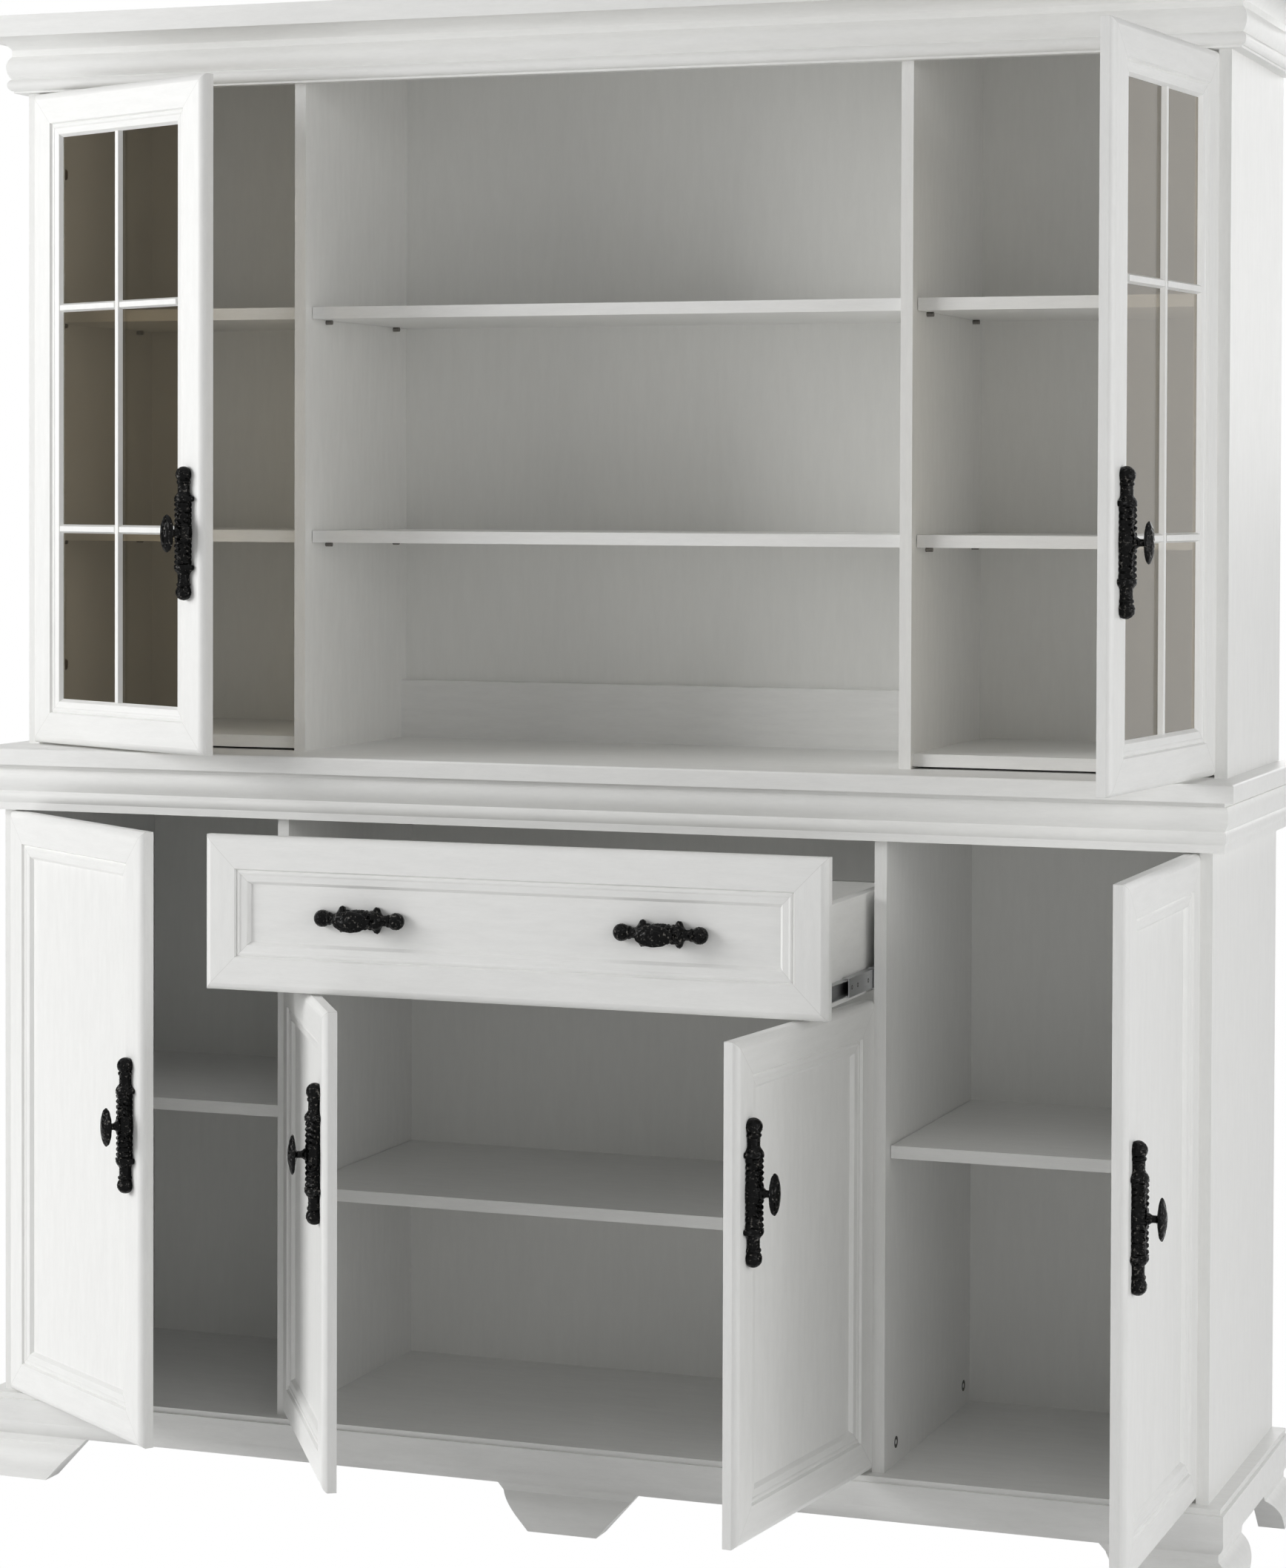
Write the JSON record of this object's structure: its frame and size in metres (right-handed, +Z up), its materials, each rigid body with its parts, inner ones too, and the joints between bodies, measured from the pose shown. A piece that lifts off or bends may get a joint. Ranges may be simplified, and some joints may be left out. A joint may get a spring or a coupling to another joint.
{
  "type": "kitchen dresser",
  "caption": "Country kitchen dresser in white: a glazed hutch with open shelves and a moulded crown on a cupboard with panelled doors and a wide drawer; doors and drawer open.",
  "frame": {"origin": "on the floor, under the middle foot of the front apron, halfway through the apron's thickness", "axes": "+X to the right of someone facing the dresser, +Y towards the wall, +Z up"},
  "size_m": [1.796, 0.8038, 1.9947],
  "materials": {
    "white_board": "white foil with fine pine grain on particle board, satin",
    "white_profile": "white foil with fine pine grain wrapped round moulded profiles, satin",
    "clear_glass": "clear float glass, polished",
    "black_iron": "black antique casting, hammered, semi-matt",
    "hinge_steel": "bronzed steel, satin",
    "slide_steel": "zinc plated sheet steel",
    "pin_steel": "dark plated steel pins"
  },
  "bodies": {
    "carcass": {"base_apron": "white_profile", "base_feet": "white_profile", "counter_moulding": "white_profile", "counter_slab": "white_board", "crown": "white_profile", "hinge_arms": "hinge_steel", "hinge_plates": "hinge_steel", "hutch_back": "white_board", "hutch_back_rail": "white_board", "hutch_bottoms": "white_board", "hutch_dividers": "white_board", "hutch_shelves_middle": "white_board", "hutch_shelves_side": "white_board", "hutch_side_left": "white_board", "hutch_side_right": "white_board", "hutch_top": "white_board", "lower_back": "white_board", "lower_dividers": "white_board", "lower_floor": "white_board", "lower_shelf_middle": "white_board", "lower_shelves_side": "white_board", "lower_side_left": "white_board", "lower_side_right": "white_board", "lower_top": "white_board", "shelf_pins": "pin_steel", "slide_cabinet_rails": "slide_steel"},
    "upper_left_door": {"upper_left_door_frame": "white_profile", "upper_left_door_glass": "clear_glass", "upper_left_door_handle": "black_iron", "upper_left_door_hinge_cups": "hinge_steel", "upper_left_door_muntins": "white_profile"},
    "upper_right_door": {"upper_right_door_frame": "white_profile", "upper_right_door_glass": "clear_glass", "upper_right_door_handle": "black_iron", "upper_right_door_hinge_cups": "hinge_steel", "upper_right_door_muntins": "white_profile"},
    "lower_left_door": {"lower_left_door_frame": "white_profile", "lower_left_door_handle": "black_iron", "lower_left_door_hinge_cups": "hinge_steel", "lower_left_door_panel": "white_profile"},
    "lower_right_door": {"lower_right_door_frame": "white_profile", "lower_right_door_handle": "black_iron", "lower_right_door_hinge_cups": "hinge_steel", "lower_right_door_panel": "white_profile"},
    "middle_left_door": {"middle_left_door_frame": "white_profile", "middle_left_door_handle": "black_iron", "middle_left_door_hinge_cups": "hinge_steel", "middle_left_door_panel": "white_profile"},
    "middle_right_door": {"middle_right_door_frame": "white_profile", "middle_right_door_handle": "black_iron", "middle_right_door_hinge_cups": "hinge_steel", "middle_right_door_panel": "white_profile"},
    "drawer": {"drawer_back": "white_board", "drawer_bottom": "white_board", "drawer_front_frame": "white_profile", "drawer_front_panel": "white_profile", "drawer_pulls": "black_iron", "drawer_sides": "white_board", "slide_drawer_rails": "slide_steel"},
    "slide_middle": {"slide_middle_rails": "slide_steel"}
  },
  "joints": [
    {"name": "upper_left_door_hinge", "type": "hinge", "parent": "carcass", "child": "upper_left_door", "pos_m": [-0.811, 0.0733, 1.444], "axis": [0, 0, -1], "range_deg": [-25.4, 69.6]},
    {"name": "upper_right_door_hinge", "type": "hinge", "parent": "carcass", "child": "upper_right_door", "pos_m": [0.811, 0.0733, 1.444], "axis": [0, 0, 1], "range_deg": [-83.5, 11.5]},
    {"name": "lower_left_door_hinge", "type": "hinge", "parent": "carcass", "child": "lower_left_door", "pos_m": [-0.808, 0.0037, 0.511], "axis": [0, 0, -1], "range_deg": [-34.5, 60.5]},
    {"name": "lower_right_door_hinge", "type": "hinge", "parent": "carcass", "child": "lower_right_door", "pos_m": [0.808, 0.0037, 0.511], "axis": [0, 0, 1], "range_deg": [-90, 5]},
    {"name": "middle_left_door_hinge", "type": "hinge", "parent": "carcass", "child": "middle_left_door", "pos_m": [-0.3943, 0.0037, 0.4105], "axis": [0, 0, -1], "range_deg": [-57, 38]},
    {"name": "middle_right_door_hinge", "type": "hinge", "parent": "carcass", "child": "middle_right_door", "pos_m": [0.3943, 0.0037, 0.4105], "axis": [0, 0, 1], "range_deg": [-83.4, 11.6]},
    {"name": "drawer_slide", "type": "slide", "parent": "carcass", "child": "drawer", "axis": [0, -1, 0], "range_m": [-0.205, 0.12]},
    {"name": "slide_middle_slide", "type": "slide", "parent": "carcass", "child": "slide_middle", "axis": [0, -1, 0], "range_m": [-0.1025, 0.06]}
  ],
  "couplings": [
    {"joint": "slide_middle_slide", "follows": "drawer_slide", "ratio": 0.5}
  ]
}
